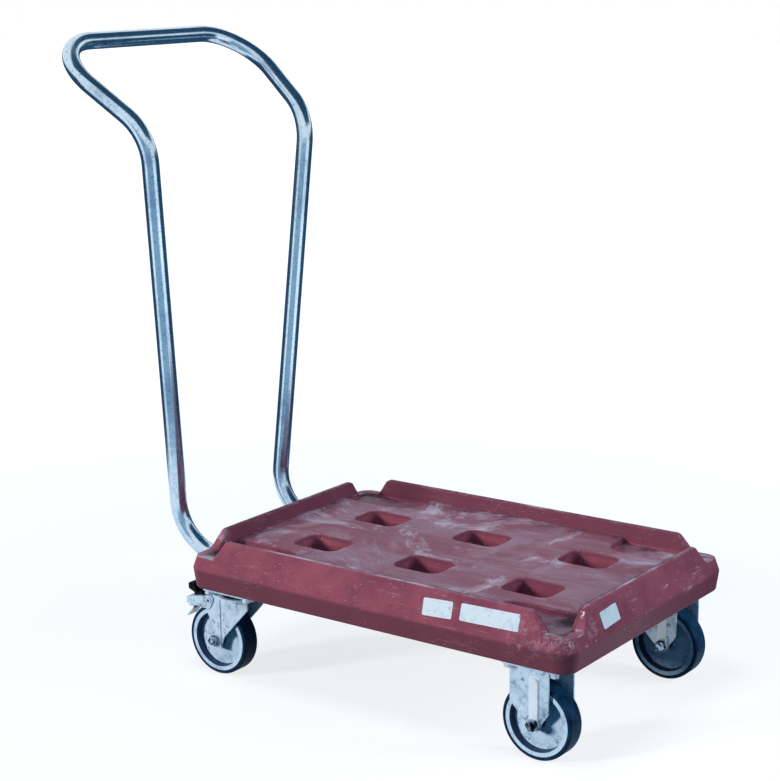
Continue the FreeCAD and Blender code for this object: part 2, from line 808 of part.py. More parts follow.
def fixed_leg(sign):
    """Leg that is wide on one side of the axle and narrow on the other."""
    other = "" if sign else "-"
    top = "%s + plate_thickness/2" % PLATE_BOTTOM
    foot = "wheel_radius - fixed_foot_drop"
    return [
        (other + "fixed_leg_wide", top),
        (other + "fixed_leg_wide", "fixed_leg_wide_height", "fixed_leg_round"),
        (other + "fixed_foot_half", foot, "fixed_foot_round"),
        (sign + "fixed_foot_half", foot, "fixed_foot_round"),
        (sign + "fixed_leg_narrow", "fixed_leg_narrow_height", "fixed_leg_round"),
        (sign + "fixed_leg_narrow", top),
    ]


def fixed_fork(label, x, y):
    """Pressed fork: half a turn about its middle brings one leg onto the other."""
    body = new_body(label, x, y)
    bolted_plate(body, "0")
    for sign in ("", "-"):
        left = sign == "-"
        leg = new_sketch(body, "leg_outline_%d" % left, "XZ_Plane", sign + FORK_GAP + "/2")
        draw_outline(leg, fixed_leg(sign))
        pad(body, "leg_%d" % left, leg, "fork_sheet", reverse=left)
        rib = new_sketch(body, "rib_outline_%d" % left, "XZ_Plane", sign + FORK_OUTER + "/2")
        draw_outline(rib, rib_corners("fixed_rib_half", "wheel_radius - fixed_rib_half"))
        pad(body, "rib_%d" % left, rib, "fixed_rib_height", taper="-fixed_rib_slope", reverse=left)
    hollow = rib_corners("(fixed_rib_half - fork_sheet)", "wheel_radius + sleeve_radius + fork_sheet")
    bar(body, "rib_hollows", hollow, FORK_GAP + " + 2*fixed_rib_height", kind="Pocket")
    drill_across(body, "axle_hole", "axle_radius + running_clearance", "0", "wheel_radius", RIB_OUTER)


def rib_corners(half, foot):
    """Upright rib with rounded ends, or the hollow behind it, which is narrower and shorter."""
    top = "(fixed_rib_top_height - fixed_rib_half + %s)" % half
    end_round = "%s - fixed_rib_end_flat" % half
    return [
        ("-" + half, foot, end_round),
        (half, foot, end_round),
        (half, top, end_round),
        ("-" + half, top, end_round),
    ]


def swivel_plate(label, x, y):
    """Castor plate with the upper half of the ball race pressed into it."""
    body = new_body(label, x, y)
    bolted_plate(body, "0")
    boss_foot = "(crown_top_height + race_gap)"
    boss = new_sketch(body, "race_boss_outline", "XY_Plane", PLATE_BOTTOM)
    draw_circle(boss, "race_radius + race_boss_half")
    draw_circle(boss, "race_radius - race_boss_half")
    pad(body, "race_boss", boss, "%s - %s" % (PLATE_BOTTOM, boss_foot), reverse=True)
    race_groove(body)
    seat = new_sketch(body, "kingpin_seat_section", "XZ_Plane")
    seat_corners = [
        ("0", PLATE_BOTTOM),
        ("kingpin_radius", PLATE_BOTTOM),
        ("kingpin_head_radius", "underside_height"),
        ("0", "underside_height"),
    ]
    draw_outline(seat, seat_corners)
    groove(body, "kingpin_seat", seat)


def groove(body, name, sketch):
    before = body.Shape.Volume
    feature = body.newObject("PartDesign::Groove", name)
    feature.Profile = sketch
    feature.ReferenceAxis = (sketch, ["V_Axis"])
    feature.Angle = 360
    doc.recompute()
    if body.Shape.Volume >= before:
        raise ValueError("%s of %s cut nothing" % (name, body.Label))


BALL_HEIGHT = "(crown_top_height + race_gap/2)"


def race_groove(body):
    """Round groove that the balls run in."""
    sketch = new_sketch(body, "race_section", "XZ_Plane")
    draw_circle(sketch, "ball_radius + running_clearance", "race_radius", BALL_HEIGHT)
    groove(body, "race", sketch)


def race_balls(label, x, y):
    """Ring of balls between the plate and the fork's crown."""
    count = int(value("ball_count"))
    balls = []
    for i in range(count):
        angle = 2 * math.pi * i / count
        reach = value("race_radius")
        spot = FreeCAD.Vector(reach * math.cos(angle), reach * math.sin(angle), value(BALL_HEIGHT))
        balls.append(Part.makeSphere(value("ball_radius"), spot))
    group = doc.addObject("Part::Feature", label)
    group.Label = label
    group.Shape = Part.makeCompound(balls)
    group.Placement.Base = point(x, y, "0")
    sub_parts.append(group)


def dust_seal(label, x, y):
    """Thin ring on the plate's race boss that covers the gap over the balls."""
    body = new_body(label, x, y)
    foot = "(crown_top_height + seal_clearance)"
    sketch = new_sketch(body, "seal_outline", "XY_Plane", foot)
    draw_circle(sketch, "race_radius + race_boss_half + seal_thickness")
    draw_circle(sketch, "race_radius + race_boss_half")
    pad(body, "seal", sketch, "%s - %s" % (PLATE_BOTTOM, foot))


CROWN_BOTTOM = "(crown_top_height - crown_thickness)"


def kingpin(label, x, y):
    """Countersunk pin through the plate, the crown and the thrust washer."""
    body = new_body(label, x, y)
    sketch = new_sketch(body, "pin_section", "XZ_Plane")
    foot = "(%s - thrust_thickness - kingpin_nut_height - axle_end)" % CROWN_BOTTOM
    corners = [
        ("0", foot),
        ("kingpin_radius", foot),
        ("kingpin_radius", PLATE_BOTTOM),
        ("kingpin_head_radius", "underside_height"),
        ("0", "underside_height"),
    ]
    draw_outline(sketch, corners)
    revolve(body, "pin", sketch)


def kingpin_nut(label, x, y):
    body = new_body(label, x, y)
    sketch = new_sketch(body, "nut_outline", "XY_Plane", "%s - thrust_thickness" % CROWN_BOTTOM)
    draw_outline(sketch, hexagon("kingpin_nut_across"))
    draw_circle(sketch, "kingpin_radius + running_clearance")
    pad(body, "nut", sketch, "kingpin_nut_height", reverse=True)


def thrust_washer(label, x, y):
    body = new_body(label, x, y)
    sketch = new_sketch(body, "washer_outline", "XY_Plane", "%s - running_clearance" % CROWN_BOTTOM)
    draw_circle(sketch, "thrust_radius")
    draw_circle(sketch, "kingpin_radius + running_clearance")
    pad(body, "washer", sketch, "thrust_thickness - running_clearance", reverse=True)


PIVOT_X = "(-trail - pivot_back)"


def swivel_fork(label, x, y):
    """Round crown over two trailing legs, which step outwards behind a crease, with brake ears."""
    body = new_body(label, x, y)
    crown = new_sketch(body, "crown_outline", "XY_Plane", CROWN_BOTTOM)
    draw_circle(crown, "crown_radius")
    pad(body, "crown", crown, "crown_thickness")
    axle_x = "-trail"
    foot = "wheel_radius - swivel_foot_drop"
    top = CROWN_BOTTOM + " + crown_thickness/2"
    rear = [
        (axle_x + " - swivel_foot_half", foot, "swivel_foot_round"),
        (axle_x + " - swivel_leg_rear", "swivel_leg_rear_height"),
        (PIVOT_X + " - ear_half", "pivot_height - ear_half", "ear_round"),
        (PIVOT_X + " - ear_half", "pivot_height + ear_rise", "ear_round"),
        (PIVOT_X + " + ear_half", top),
    ]
    front = [
        ("swivel_leg_nose", top),
        ("swivel_leg_nose", "swivel_leg_nose_height", "ear_round"),
        (axle_x + " + swivel_leg_front", "swivel_leg_front_height", "swivel_foot_round"),
        (axle_x + " + swivel_foot_half", foot, "swivel_foot_round"),
    ]
    crease = axle_x + " + boss_radius + side_clearance"
    step = [(crease, top), (crease, foot)]
    ahead = FORK_GAP + " - 2*swivel_joggle"
    bar(body, "front_legs", (front + rear)[::-1], ahead + " + 2*fork_sheet")
    bar(body, "rear_legs", (step + rear)[::-1], FORK_OUTER)
    behind = axle_x + " - plate_length"
    wheel_space = block(behind, "plate_length", "0", CROWN_BOTTOM)
    bar(body, "wheel_space", wheel_space, ahead, kind="Pocket")
    rear_space = block(behind, crease, "0", CROWN_BOTTOM)
    bar(body, "rear_space", rear_space, FORK_GAP, kind="Pocket")
    race_groove(body)
    bore = new_sketch(body, "kingpin_bore_outline", "XY_Plane", CROWN_BOTTOM)
    draw_circle(bore, "kingpin_radius + running_clearance")
    pocket(body, "kingpin_bore", bore, "crown_thickness", reverse=True)
    drill_across(body, "axle_hole", "axle_radius + running_clearance", axle_x, "wheel_radius", FORK_OUTER)
    drill_across(body, "pivot_hole", "pivot_radius", PIVOT_X, "pivot_height", FORK_OUTER)


# Brake
PEDAL_INNER = "(%s + 2*side_clearance)" % FORK_OUTER
PEDAL_OUTER = "(%s + 2*pedal_sheet)" % PEDAL_INNER
PEDAL_TOP = "(pivot_height + pedal_nose)"
PEDAL_TIP_X = "(%s - pedal_reach)" % PIVOT_X


def behind_pivot(distance):
    return "(%s - %s)" % (PIVOT_X, distance)


def web_top(distance):
    """Height of the pedal's sloping web at a distance behind the pivot."""
    return "(%s - (%s)*pedal_tip_drop/pedal_reach)" % (PEDAL_TOP, distance)


def pedal_pin(label, x, y):
    """Hollow rivet through the ears of the fork, which the pedal turns on."""
    body = new_body(label, x, y)
    sketch = new_sketch(body, "pin_outline", "XZ_Plane")
    draw_circle(sketch, "pivot_radius", PIVOT_X, "pivot_height")
    draw_circle(sketch, "pivot_bore", PIVOT_X, "pivot_height")
    pad(body, "pin", sketch, PEDAL_OUTER + " + 2*side_clearance", both=True)
    for sign in ("", "-"):
        head = new_sketch(body, "head_outline_%d" % (sign == "-"), "XZ_Plane",
                          sign + "(%s/2 + side_clearance)" % PEDAL_OUTER)
        draw_circle(head, "pivot_head_radius", PIVOT_X, "pivot_height")
        draw_circle(head, "pivot_bore", PIVOT_X, "pivot_height")
        pad(body, "head_%d" % (sign == "-"), head, "pivot_head", reverse=sign == "-")


def brake_pedal(label, x, y):
    """Pressed channel: two cheeks outside the ears and a web behind them."""
    body = new_body(label, x, y)
    nose = PIVOT_X + " + pedal_nose"
    cheek = [
        (nose, PEDAL_TOP, "pedal_nose_round"),
        (PIVOT_X, PEDAL_TOP),
        (PEDAL_TIP_X, web_top("pedal_reach")),
        (PEDAL_TIP_X, web_top("pedal_reach") + " - pedal_tip_height", "pedal_tip_round"),
        (PIVOT_X, "pivot_height - pedal_cheek_drop", "pedal_nose"),
        (nose, "pivot_height", "pedal_nose_round"),
    ]
    bar(body, "cheeks", cheek, PEDAL_OUTER)
    end = "pedal_reach - pedal_sheet"
    under = [
        (behind_pivot("(%s)" % end), "0"),
        (behind_pivot("pedal_web_start"), "0"),
        (behind_pivot("pedal_web_start"), web_top("pedal_web_start") + " - pedal_sheet"),
        (behind_pivot("(%s)" % end), web_top(end) + " - pedal_sheet"),
    ]
    bar(body, "channel", under, PEDAL_INNER, kind="Pocket")
    ahead = block(behind_pivot("pedal_web_start"), nose, "0", "underside_height")
    bar(body, "ear_space", ahead, PEDAL_INNER, kind="Pocket")
    hole = "pivot_radius + running_clearance"
    drill_across(body, "pivot_hole", hole, PIVOT_X, "pivot_height", PEDAL_OUTER)


def pedal_tread(label, x, y):
    """Rubber cover on the web, with an upturned toe at the back."""
    body = new_body(label, x, y)
    start = behind_pivot("pedal_web_start")
    saddle = web_top("tread_saddle_back") + " + tread_thickness"
    neck = web_top("tread_neck_back") + " + tread_thickness"
    toe_top = "pivot_height + tread_toe_high"
    corners = [
        (start, web_top("pedal_web_start")),
        (start, web_top("pedal_web_start") + " + tread_front_thickness", "tread_front_round"),
        (behind_pivot("tread_saddle_back"), saddle, "tread_saddle_round"),
        (behind_pivot("tread_toe_front"), toe_top, "tread_toe_round"),
        (behind_pivot("tread_toe_back"), toe_top, "tread_toe_round"),
        (behind_pivot("tread_toe_back"), "pivot_height + tread_toe_low", "tread_toe_round"),
        (behind_pivot("tread_neck_back"), neck),
        (behind_pivot("tread_neck_back"), web_top("tread_neck_back")),
    ]
    bar(body, "cover", corners[::-1], "2*tread_half")


def brake_shoe(label, x, y):
    """Bent steel leaf under the web, which the pedal presses against the tyre."""
    body = new_body(label, x, y)
    upper = [
        (behind_pivot("shoe_start"), web_top("shoe_start") + " - pedal_sheet"),
        (behind_pivot("shoe_bend_back"), web_top("shoe_bend_back") + " - pedal_sheet"),
        (behind_pivot("shoe_touch_back"), "pivot_height - shoe_touch_drop"),
        (behind_pivot("shoe_tip_back"), "pivot_height - shoe_tip_drop"),
    ]
    lower = []
    for along, height in reversed(upper):
        lower.append((along + " + shoe_lean", height + " - shoe_thickness"))
    bar(body, "leaf", upper + lower, "2*shoe_half")
    lug_top = "pivot_height - shoe_lug_drop"
    lug = block(behind_pivot("shoe_lug_end"), behind_pivot("shoe_lug_start"),
                lug_top + " - shoe_thickness", lug_top)
    bar(body, "lug", lug, "2*shoe_half")


def fixed_castor(side):
    name = "front_" + side
    y = SIDES[side]
    fixed_fork(name + "_fork", FRONT_X, y)
    wheel_set(name, FRONT_X, y, RIB_OUTER)


def swivel_castor(side):
    name = "rear_" + side
    y = SIDES[side]
    swivel_plate(name + "_swivel_plate", REAR_X, y)
    dust_seal(name + "_dust_seal", REAR_X, y)
    kingpin(name + "_kingpin", REAR_X, y)
    kingpin_nut(name + "_kingpin_nut", REAR_X, y)
    thrust_washer(name + "_thrust_washer", REAR_X, y)
    race_balls(name + "_race_balls", REAR_X, y)
    swivel_fork(name + "_fork", REAR_X, y)
    wheel_set(name, REAR_X + " - trail", y, FORK_OUTER)
    pedal_pin(name + "_pedal_pin", REAR_X, y)
    brake_pedal(name + "_brake_pedal", REAR_X, y)
    pedal_tread(name + "_pedal_tread", REAR_X, y)
    brake_shoe(name + "_brake_shoe", REAR_X, y)


platform_shell()
push_handle()
platform_fasteners()
for side in SIDES:
    fixed_castor(side)
    swivel_castor(side)
doc.recompute()

# Every object has to be sound before anything is written
for item in doc.Objects:
    if "Invalid" in item.State or "Error" in item.State:
        raise ValueError("%s failed: %s" % (item.Label, item.State))
for item in sub_parts:
    if item.Shape.isNull() or not item.Shape.isValid():
        raise ValueError("%s has no sound shape" % item.Label)

os.makedirs("parts", exist_ok=True)
for item in sub_parts:
    item.Shape.exportStep("parts/%s.step" % item.Label)
print("%d sub-parts written" % len(sub_parts))
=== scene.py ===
# %% [markdown]
# # A platform trolley for food boxes
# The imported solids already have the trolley's shape and size: a moulded platform, a bent tube
# handle and four castors. This lesson dresses them. The solids are right as they are, so each gets
# a finish, three labels are modelled on top, and a plain studio shows the result. Everything is in
# metres, in the frame of the solids: +X points away from the handle and +Z points up.

# %% Load the solids
import math

import bmesh
import bpy
from mathutils import Matrix, Vector


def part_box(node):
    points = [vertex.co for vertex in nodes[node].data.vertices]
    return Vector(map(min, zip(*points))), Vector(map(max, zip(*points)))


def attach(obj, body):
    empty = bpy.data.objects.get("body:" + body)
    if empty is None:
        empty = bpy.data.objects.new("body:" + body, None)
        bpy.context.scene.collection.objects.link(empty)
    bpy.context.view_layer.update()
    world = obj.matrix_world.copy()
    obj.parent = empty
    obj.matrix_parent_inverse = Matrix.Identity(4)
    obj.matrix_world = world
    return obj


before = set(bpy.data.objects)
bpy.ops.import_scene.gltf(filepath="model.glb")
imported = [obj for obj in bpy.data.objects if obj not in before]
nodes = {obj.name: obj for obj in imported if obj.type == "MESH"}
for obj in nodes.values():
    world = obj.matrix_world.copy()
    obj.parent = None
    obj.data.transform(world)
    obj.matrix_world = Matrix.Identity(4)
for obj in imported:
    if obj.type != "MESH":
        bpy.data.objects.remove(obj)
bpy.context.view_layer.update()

# %% [markdown]
# ## Landmarks
# Pieces and wear marks need places. The platform's box gives its centre and its half sizes, and
# the few heights below are the levels of its walls and deck. All later places count from these.

# %% Landmarks of the platform
platform_low, platform_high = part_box("platform_shell")
CENTRE_X = (platform_low.x + platform_high.x) / 2
HALF_LENGTH = (platform_high.x - platform_low.x) / 2
HALF_WIDTH = (platform_high.y - platform_low.y) / 2
RIM_TOP = platform_high.z
DECK = 0.225
CORNER_FLOOR = 0.214
WAIST = 0.195
UNDERSIDE = 0.160
WALL_FLARE = 0.019
RIM_WIDTH = 0.009
TRAY_HALF_LENGTH = HALF_LENGTH - WALL_FLARE - RIM_WIDTH
TRAY_HALF_WIDTH = HALF_WIDTH - WALL_FLARE - RIM_WIDTH
tray_size = (2 * TRAY_HALF_LENGTH, 2 * TRAY_HALF_WIDTH)
print("platform centre %.4f, tray %.3f by %.3f" % (CENTRE_X, *tray_size))

# %% [markdown]
# ## A small vocabulary for finishes
# A finish is a node tree. Wiring one by hand takes a dozen lines per node, so this helper makes
# a node, applies its settings and fills its inputs: a socket is linked, anything else is a value.
# With it a finish reads as a recipe: what varies, how far, and where.

# %% Helper for finishes


class Finish:
    """A procedural material on Object coordinates, built up node by node."""

    def __init__(self, name, **constants):
        self.material = bpy.data.materials.new(name)
        self.material.use_nodes = True
        self.tree = self.material.node_tree
        self.shader = self.tree.nodes["Principled BSDF"]
        self.place = self.add("ShaderNodeTexCoord").outputs["Object"]
        for socket, constant in constants.items():
            self.shader.inputs[socket.replace("_", " ")].default_value = constant

    def add(self, kind, inputs=(), **settings):
        node = self.tree.nodes.new(kind)
        for key, setting in settings.items():
            setattr(node, key, setting)
        for key, source in dict(inputs).items():
            if isinstance(source, bpy.types.NodeSocket):
                self.tree.links.new(source, node.inputs[key])
            else:
                node.inputs[key].default_value = source
        return node

    def set(self, socket, source):
        self.tree.links.new(source, self.shader.inputs[socket])

    def geometry(self, output):
        return self.add("ShaderNodeNewGeometry").outputs[output]

    def math(self, operation, first, second=0.0):
        return self.add("ShaderNodeMath", {0: first, 1: second}, operation=operation).outputs[0]

    def vector_math(self, operation, *vectors):
        """The outputs, Vector and Value, of a sum with whole places or directions."""
        return self.add("ShaderNodeVectorMath", enumerate(vectors), operation=operation).outputs

    def times(self, *factors):
        product = factors[0]
        for factor in factors[1:]:
            product = self.math("MULTIPLY", product, factor)
        return product

    def either(self, first, second):
        return self.math("MAXIMUM", first, second)

    def outside(self, mask):
        return self.math("SUBTRACT", 1.0, mask)

    def between(self, source, low, high):
        """0 below low, 1 above high, smooth in between; low above high turns it round."""
        inputs = {"Value": source, "From Min": low, "From Max": high}
        node = self.add("ShaderNodeMapRange", inputs, interpolation_type="SMOOTHSTEP")
        return node.outputs["Result"]

    def band(self, source, rise, fall):
        """1 between a rise and a fall, each given as its start and its end."""
        return self.times(self.between(source, *rise), self.between(source, *fall))

    def level(self, source, low, high):
        """Spread a 0 to 1 source evenly between two levels."""
        inputs = {"Value": source, "To Min": low, "To Max": high}
        return self.add("ShaderNodeMapRange", inputs).outputs["Result"]

    def stretched(self, scale):
        """Place with a scale for each axis, for marks that run one way."""
        inputs = {"Vector": self.place, "Scale": scale}
        return self.add("ShaderNodeMapping", inputs).outputs["Vector"]

    def noise(self, scale, detail=4.0, roughness=0.55, place=None, swirl=0.0):
        inputs = {"Vector": place or self.place, "Scale": scale, "Detail": detail}
        inputs.update({"Roughness": roughness, "Distortion": swirl})
        return self.add("ShaderNodeTexNoise", inputs).outputs["Fac"]

    def streaks(self, scale, detail, roughness, swirl=0.0):
        """Noise drawn out along the axes with the smaller scales."""
        return self.noise(1.0, detail, roughness, self.stretched(scale), swirl)

    def mix(self, factor, first, second):
        inputs = {"Factor": factor, 6: first, 7: second}
        return self.add("ShaderNodeMix", inputs, data_type="RGBA", clamp_factor=True).outputs[2]

    def split(self, vector):
        """The three parts of a place or a direction."""
        return self.add("ShaderNodeSeparateXYZ", {"Vector": vector}).outputs[:3]

    def spot(self, centre, inner, outer):
        """1 within the inner distance of a point, fading to 0 at the outer one."""
        away = self.vector_math("DISTANCE", self.place, centre)["Value"]
        return self.between(away, outer, inner)

    def softened(self, radius):
        """Normal that is rounded where two faces meet."""
        return self.add("ShaderNodeBevel", {"Radius": radius}, samples=6).outputs["Normal"]

    def bump(self, height, strength, distance, normal=None):
        inputs = {"Height": height, "Strength": strength, "Distance": distance}
        if normal:
            inputs["Normal"] = normal
        self.set("Normal", self.add("ShaderNodeBump", inputs).outputs["Normal"])


# %% Helpers for colours and solids
def colour(red, green, blue):
    """Linear colour from the 0 to 255 values that a screen shows."""

    def linear(level):
        share = level / 255
        return share / 12.92 if share <= 0.04045 else ((share + 0.055) / 1.055) ** 2.4

    return (linear(red), linear(green), linear(blue), 1.0)


def paint(finish, names):
    """Give a finish to solids."""
    for name in names:
        mesh = nodes[name].data
        mesh.materials.clear()
        mesh.materials.append(finish.material)


def named(*endings):
    return [name for name in nodes if name.endswith(endings)]


# %% [markdown]
# ## Moulded platform
# The platform is dark red polyethylene, rubbed by years of boxes. A picture could be wrapped
# round it, but a recipe stays sharp at any distance. Each kind of wear has its own place, so each
# gets a mask made from the height, the facing or the distance to an edge, broken up by noise. One
# function per kind of wear takes the colour so far and gives back the worn one.
#
# The deck comes first. Boxes have hazed it with long rubs and faint scratches. The pockets get a
# tone that lifts their shade, a painted light, and the rims' inner faces are painted darker as shade.

# %% Tones and haze of the deck
MAROON = colour(152, 80, 95)
MAROON_DEEP = colour(126, 66, 82)
# Darker maroon: painted shade on the lower wall and the rims' inner faces, and the dull tone of the
# deck.
MAROON_SHADE_AND_DECK = colour(110, 60, 74)
# Tone of the pockets, set to lift the shade inside them: painted light.
MAROON_POCKET_LIGHT = colour(130, 64, 82)
HAZE = colour(146, 114, 129)
HAZE_PALE = colour(188, 172, 184)


def tray_inside(finish, along, across):
    """1 between the rims, their inner faces included, and 0 outside."""
    return finish.times(
        finish.between(across, TRAY_HALF_WIDTH + 0.006, TRAY_HALF_WIDTH + 0.002),
        finish.between(along, TRAY_HALF_LENGTH + 0.006, TRAY_HALF_LENGTH + 0.002),
    )


def tray_tones(finish, surface, height, inside, upward):
    """Pockets get a lighter tone as painted light, and the rims' inner faces get painted shade."""
    above_base = (UNDERSIDE + 0.002, UNDERSIDE + 0.006)
    below_deck = (CORNER_FLOOR - 0.003, CORNER_FLOOR - 0.009)
    # The pockets are painted in a tone of their own: painted light in their shade.
    pocket_light = finish.band(height, above_base, below_deck)
    surface = finish.mix(finish.times(inside, pocket_light), surface, MAROON_POCKET_LIGHT)
    # Upright faces inside the rims are painted darker: painted shade.
    raised = finish.between(height, CORNER_FLOOR + 0.002, CORNER_FLOOR + 0.008)
    upright = finish.outside(upward)
    return finish.mix(finish.times(inside, raised, upright, 0.8), surface, MAROON_SHADE_AND_DECK)


def deck_haze(finish, surface, deck):
    """Long rubs, cloudy swirls and fine scratches, where boxes slide on and off."""
    drag = finish.streaks((3.4, 13.0, 3.0), detail=7.0, roughness=0.7, swirl=0.6)
    swirls = finish.noise(4.6, detail=6.0, roughness=0.62, swirl=2.4)
    scratches = finish.streaks((7.0, 260.0, 7.0), detail=3.0, roughness=0.6)
    clouded = finish.either(finish.between(drag, 0.44, 0.66), finish.between(swirls, 0.47, 0.64))
    rubs = finish.level(clouded, 0.14, 0.84)
    lines = finish.times(finish.between(scratches, 0.55, 0.68), 0.4)
    hazed = finish.times(finish.either(rubs, lines), deck)
    surface = finish.mix(finish.times(deck, 0.6), surface, MAROON_SHADE_AND_DECK)
    surface = finish.mix(hazed, surface, HAZE)
    patches = finish.noise(6.5, detail=8.0, roughness=0.74, swirl=1.0)
    chalky = finish.times(finish.between(patches, 0.50, 0.64), deck, 0.8)
    return finish.mix(chalky, surface, HAZE_PALE), lines


# %% [markdown]
# ### Dirt on the deck
# Dirt stays where a broom can't reach: in a dark line at the foot of the rims, in a paler band
# beside it, and as black smudges in two corners. The recesses of the front corners are painted
# pale: rub wear, and painted light in their shade.

# %% Dirt at the foot of the rims
DIRT = colour(40, 24, 34)
SMUDGE = colour(26, 24, 34)
RUB_AND_LIGHT_ALONG = 0.316
RUB_AND_LIGHT_ACROSS = 0.196
# along and across the platform from its centre, and strength
SMUDGES = ((0.333, -0.168, 0.95), (-0.346, -0.214, 0.6))


def foot_dirt(finish, surface, deck, inside, along, across):
    """Grime that gathers where the deck meets the rims."""
    side_foot = finish.between(across, TRAY_HALF_WIDTH - 0.046, TRAY_HALF_WIDTH - 0.003)
    end_foot = finish.between(along, TRAY_HALF_LENGTH - 0.022, TRAY_HALF_LENGTH - 0.003)
    patchy = finish.between(finish.noise(24.0, detail=6.0, roughness=0.72), 0.44, 0.66)
    dirt = finish.times(finish.either(side_foot, end_foot), inside, deck, patchy, 0.85)
    surface = finish.mix(dirt, surface, DIRT)
    side_line = finish.between(across, TRAY_HALF_WIDTH - 0.008, TRAY_HALF_WIDTH - 0.001)
    end_line = finish.between(along, TRAY_HALF_LENGTH - 0.008, TRAY_HALF_LENGTH - 0.001)
    uneven = finish.level(finish.between(finish.noise(9.0), 0.36, 0.60), 0.35, 0.85)
    line = finish.times(finish.either(side_line, end_line), inside, deck, uneven)
    return finish.mix(line, surface, DIRT), patchy


def corner_floors(finish, surface, deck, patchy):
    """Pale rubs, also painted light, in the front corner recesses, and black smudges in two corners.
    """
    # Pale spots in the front recesses: rub wear and painted light.
    for across in (-RUB_AND_LIGHT_ACROSS, RUB_AND_LIGHT_ACROSS):
        rub_and_light = finish.spot((CENTRE_X + RUB_AND_LIGHT_ALONG, across, CORNER_FLOOR), 0.016, 0.056)
        surface = finish.mix(finish.times(rub_and_light, deck, patchy, 0.7), surface, HAZE_PALE)
    ragged = finish.between(finish.noise(60.0, detail=5.0, roughness=0.7), 0.28, 0.48)
    for along, across, strength in SMUDGES:
        smudge = finish.spot((CENTRE_X + along, across, CORNER_FLOOR), 0.011, 0.032)
        surface = finish.mix(finish.times(smudge, ragged, strength), surface, SMUDGE)
    return surface


print("smudges:", len(SMUDGES))

# %% [markdown]
# ### Scuffs on edges and walls
# Raised edges rub against everything and turn pale. The bevel node finds them: near an edge its
# rounded normal turns away from the true one. The walls have small nicks and level scratches, the
# front wall has scrapes from door frames, and the corner that leads has bare patches and a chip.

# %% Scuffs on edges and walls
SCUFF = colour(214, 190, 200)


def edge_scuffs(finish, surface, height, inside, soft):
    """Pale rubs where the rounded normal turns away from the true one, on the upper edges only."""
    foot = finish.times(inside, finish.between(height, DECK + 0.008, DECK + 0.003))
    turn = finish.vector_math("DOT_PRODUCT", soft, finish.geometry("True Normal"))["Value"]
    edges = finish.between(turn, 0.997, 0.92)
    raised = finish.between(height, CORNER_FLOOR - 0.016, CORNER_FLOOR + 0.002)
    rubs = finish.between(finish.noise(30.0, detail=6.0, roughness=0.78), 0.49, 0.63)
    worn = finish.times(edges, raised, rubs, finish.outside(foot), 0.7)
    return finish.mix(worn, surface, SCUFF)


def wall_nicks(finish, surface, scale, share):
    """Small pale specks, gathered in patches."""
    cells = finish.add("ShaderNodeTexVoronoi", {"Vector": finish.place, "Scale": scale})
    speck = finish.between(cells.outputs["Distance"], 0.20, 0.08)
    gathered = finish.between(finish.noise(17.0), 0.50, 0.62)
    return finish.mix(finish.times(speck, gathered, share), surface, SCUFF)


def wall_scratches(finish, surface):
    """Short level scratches, gathered where the trolley is pushed along others."""
    scratches = finish.streaks((22.0, 22.0, 330.0), detail=4.0, roughness=0.7)
    fine = finish.between(scratches, 0.58, 0.68)
    gathered = finish.between(finish.noise(11.0, detail=5.0, roughness=0.6), 0.46, 0.60)
    return finish.mix(finish.times(fine, gathered, 0.2), surface, SCUFF)


def end_scrapes(finish, surface, height, facing_x):
    """Level scrapes on the front wall, where the trolley meets door frames."""
    front = finish.between(facing_x, 0.6, 0.9)
    reached = finish.band(height, (WAIST - 0.011, WAIST - 0.001), (WAIST + 0.037, WAIST + 0.017))
    scrapes = finish.streaks((8.0, 26.0, 190.0), detail=5.0, roughness=0.7)
    streaks = finish.between(scrapes, 0.55, 0.66)
    broken = finish.between(finish.noise(30.0, roughness=0.7), 0.46, 0.60)
    return finish.mix(finish.times(front, reached, streaks, broken, 0.75), surface, SCUFF)


# %% Patches and chip of the leading corner
CHIPPED = colour(244, 244, 246)
# places from the platform's centre
CHIP = ((0.3635, -0.1850, 0.2415), (0.3630, -0.1870, 0.2385), (0.3625, -0.1885, 0.2355))
# place from the platform's centre, inner and outer radius, and strength
CORNER_MARKS = (
    ((0.371, -0.240, 0.209), 0.004, 0.012, 0.8),
    ((0.352, -0.236, 0.207), 0.010, 0.034, 0.38),
    ((0.300, -0.246, 0.206), 0.008, 0.046, 0.26),
    ((0.374, -0.180, 0.222), 0.006, 0.030, 0.32),
    ((-0.360, -0.190, 0.238), 0.004, 0.026, 0.4),
)


def corner_scuffs(finish, surface):
    """Bare pale patches on the near corners, and a chip on the rim beside the front one."""
    speckled = finish.between(finish.noise(52.0, detail=6.0, roughness=0.8), 0.48, 0.62)
    for (along, across, height), inner, outer, strength in CORNER_MARKS:
        patch = finish.spot((CENTRE_X + along, across, height), inner, outer)
        surface = finish.mix(finish.times(patch, speckled, strength), surface, SCUFF)
    torn = finish.between(finish.noise(240.0), 0.36, 0.50)
    for along, across, height in CHIP:
        patch = finish.spot((CENTRE_X + along, across, height), 0.0012, 0.0032)
        surface = finish.mix(finish.times(patch, torn, 0.85), surface, CHIPPED)
    return surface


print("corner marks:", len(CORNER_MARKS))

# %% Finish of the platform


